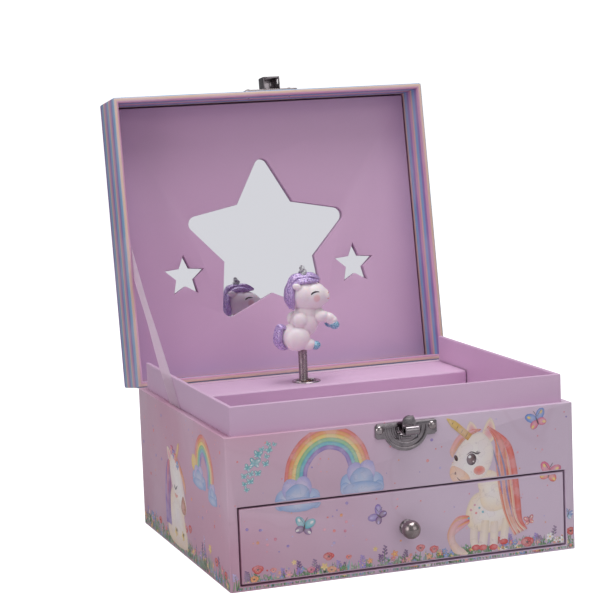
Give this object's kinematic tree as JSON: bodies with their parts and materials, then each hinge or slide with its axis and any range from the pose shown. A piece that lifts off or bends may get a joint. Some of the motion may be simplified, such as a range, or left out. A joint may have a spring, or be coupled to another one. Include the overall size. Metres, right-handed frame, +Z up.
{
  "type": "musical jewellery box",
  "caption": "Board jewellery box with a drawer, hinged lid with star mirrors, clasp, and a wind-up movement that turns a small unicorn figure on a spring post.",
  "frame": {"origin": "centre of the underside of the case", "axes": "+X along the width to the right of someone facing the drawer, +Y to the back where the lid is hinged, +Z up"},
  "size_m": [0.18, 0.2227, 0.2367],
  "materials": {
    "printed_board": "satin",
    "liner_paper": "matte",
    "plain_board": "matte",
    "striped_paper": "satin",
    "cloth": "matte",
    "ribbon": "satin",
    "mirror": "polished",
    "nickel": "polished",
    "dark_nickel": "satin",
    "steel": "satin",
    "brass": "satin",
    "cast_metal": "matte",
    "resin_white": "satin",
    "resin_lilac": "gloss",
    "resin_blue": "gloss",
    "resin_silver": "gloss",
    "nylon": "satin"
  },
  "bodies": {
    "case": {"case_shell": "printed_board", "shelf_board": "liner_paper", "collar_liner": "liner_paper", "music_cover": "liner_paper", "cover_eyelet": "nickel", "hinge_cloth_case": "cloth", "ribbon_stay": "ribbon", "clasp_plate": "dark_nickel", "clasp_nails": "nickel", "clasp_pin": "steel", "movement_frame": "cast_metal", "frame_screws": "steel", "ratchet_click": "steel", "comb": "steel", "comb_screws": "steel", "governor_frame": "cast_metal", "spindle_bracket": "steel", "spindle_bush": "brass"},
    "lid": {"lid_shell": "striped_paper", "hinge_cloth_lid": "cloth", "panel_spacers": "plain_board", "mirror_panel": "liner_paper", "star_mirror": "mirror", "catch_plate": "nickel", "catch_loop": "dark_nickel", "catch_nails": "nickel"},
    "drawer": {"drawer_tray": "liner_paper", "drawer_front": "printed_board", "drawer_knob": "nickel", "knob_base": "dark_nickel", "knob_screw": "steel"},
    "latch": {"clasp_lever": "nickel", "clasp_spring": "steel"},
    "barrel": {"spring_barrel": "brass", "barrel_cap": "brass", "crown_gear": "nylon", "mainspring": "steel"},
    "winder": {"winding_arbor": "steel", "ratchet_wheel": "brass", "winding_key": "brass"},
    "cylinder": {"drum": "brass", "drum_arbor": "steel", "drum_pinion": "brass", "drum_gear": "brass"},
    "governor": {"governor_wheel": "nylon"},
    "fly": {"fly_worm": "steel", "fly_blade": "brass"},
    "drive_spindle": {"spindle": "steel", "spindle_pinion": "brass"},
    "post": {"post_spring": "nickel"},
    "figure": {"figure_ferrule": "steel", "figure_body": "resin_white", "figure_mane": "resin_lilac", "figure_horn": "resin_silver", "figure_hooves": "resin_blue"}
  },
  "joints": [
    {"name": "lid_hinge", "type": "hinge", "parent": "case", "child": "lid", "pos_m": [0, 0.0786, 0.074], "axis": [1, 0, 0], "range_deg": [0, 98.8], "deforming": ["ribbon_stay"]},
    {"name": "drawer_slide", "type": "slide", "parent": "case", "child": "drawer", "axis": [0, -1, 0], "range_m": [0, 0.105]},
    {"name": "latch_lift", "type": "hinge", "parent": "case", "child": "latch", "pos_m": [0.001, -0.0815, 0.0669], "axis": [-1, 0, 0], "range_deg": [0, 16], "stiffness_Nm_per_rad": 0.02},
    {"name": "barrel_spin", "type": "hinge", "parent": "case", "child": "barrel", "pos_m": [-0.00535, 0.06, 0.058], "axis": [0, 1, 0], "continuous": true},
    {"name": "key_turn", "type": "hinge", "parent": "case", "child": "winder", "pos_m": [-0.00535, 0.07, 0.058], "axis": [0, 1, 0], "continuous": true},
    {"name": "cylinder_spin", "type": "hinge", "parent": "case", "child": "cylinder", "pos_m": [0.024, 0.0508, 0.058], "axis": [1, 0, 0], "continuous": true},
    {"name": "governor_spin", "type": "hinge", "parent": "case", "child": "governor", "pos_m": [0.0375, 0.0598, 0.058], "axis": [1, 0, 0], "continuous": true},
    {"name": "fly_spin", "type": "hinge", "parent": "case", "child": "fly", "pos_m": [0.04205, 0.0662, 0.058], "axis": [0, 0, 1], "continuous": true},
    {"name": "spindle_spin", "type": "hinge", "parent": "case", "child": "drive_spindle", "pos_m": [-0.00535, 0.0508, 0.066], "axis": [0, 0, 1], "continuous": true},
    {"name": "post_fold", "type": "hinge", "parent": "case", "child": "post", "pos_m": [-0.00535, 0.0508, 0.075], "axis": [1, 0, 0], "range_deg": [0, 91], "deforming": ["post_spring"]},
    {"name": "figure_spin", "type": "hinge", "parent": "post", "child": "figure", "pos_m": [-0.00535, 0.0508, 0.1], "axis": [0, 0, 1], "continuous": true}
  ],
  "couplings": [
    {"joint": "cylinder_spin", "follows": "barrel_spin", "ratio": -2.5},
    {"joint": "governor_spin", "follows": "barrel_spin", "ratio": 10},
    {"joint": "fly_spin", "follows": "barrel_spin", "ratio": 80},
    {"joint": "spindle_spin", "follows": "barrel_spin", "ratio": -2.5},
    {"joint": "figure_spin", "follows": "barrel_spin", "ratio": -2.5},
    {"joint": "post_fold", "follows": "lid_hinge", "ratio": 0.92}
  ]
}
